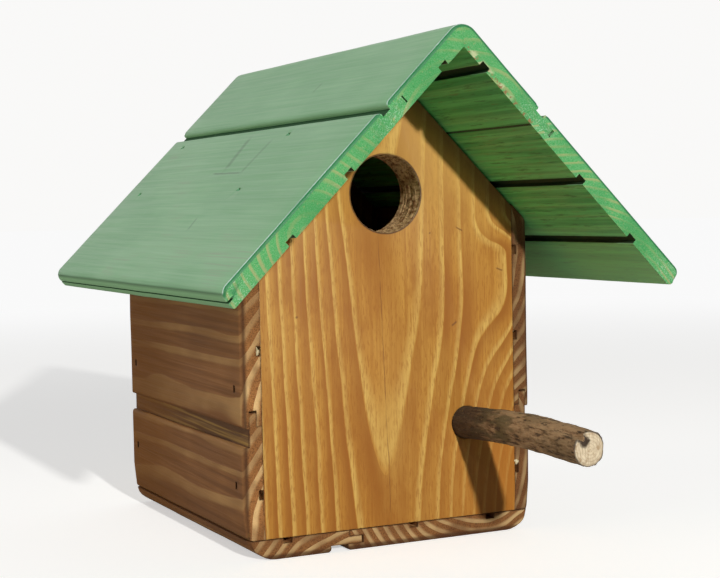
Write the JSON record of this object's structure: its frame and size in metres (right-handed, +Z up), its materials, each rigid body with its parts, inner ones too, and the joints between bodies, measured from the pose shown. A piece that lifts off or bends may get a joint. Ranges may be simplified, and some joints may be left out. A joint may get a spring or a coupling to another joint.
{
  "type": "birdhouse",
  "caption": "Gabled wooden birdhouse of tongue and groove boards, with a round entrance hole and a natural stick perch.",
  "frame": {"origin": "middle of the underside of the base, on the surface that the birdhouse stands on", "axes": "+Z up, -Y out of the front with the entrance hole and the perch, +X to the right when looking at the front"},
  "size_m": [0.1937, 0.2474, 0.2062],
  "materials": {
    "panel": "amber oiled pine, flat-sawn",
    "wall": "matte brown stain over tongue and groove boards, rough stained end grain",
    "base": "matte brown stain, rough stained end grain",
    "roof": "thin matte green paint with the grain showing",
    "bark": "natural bark with a cream cut end",
    "steel": "dull wire brad"
  },
  "bodies": {
    "root": {"front_panel": "panel", "back_panel": "panel", "wall_left_lower_board": "wall", "wall_left_upper_board": "wall", "wall_right_lower_board": "wall", "wall_right_upper_board": "wall", "base_left_board": "base", "base_right_board": "base", "roof_left_upper_board": "roof", "roof_left_lower_board": "roof", "roof_right_upper_board": "roof", "roof_right_lower_board": "roof", "perch": "bark", "brad_wall_left_front_lower": "steel", "brad_wall_left_front_upper": "steel", "brad_wall_left_back_lower": "steel", "brad_wall_left_back_upper": "steel", "brad_wall_right_front_lower": "steel", "brad_wall_right_front_upper": "steel", "brad_wall_right_back_lower": "steel", "brad_wall_right_back_upper": "steel", "brad_roof_left_front_high": "steel", "brad_roof_left_front_low": "steel", "brad_roof_left_back_high": "steel", "brad_roof_left_back_low": "steel", "brad_roof_right_front_high": "steel", "brad_roof_right_front_low": "steel", "brad_roof_right_back_high": "steel", "brad_roof_right_back_low": "steel", "brad_base_front_left": "steel", "brad_base_front_middle": "steel", "brad_base_front_right": "steel", "brad_base_back_left": "steel", "brad_base_back_middle": "steel", "brad_base_back_right": "steel"}
  },
  "joints": []
}
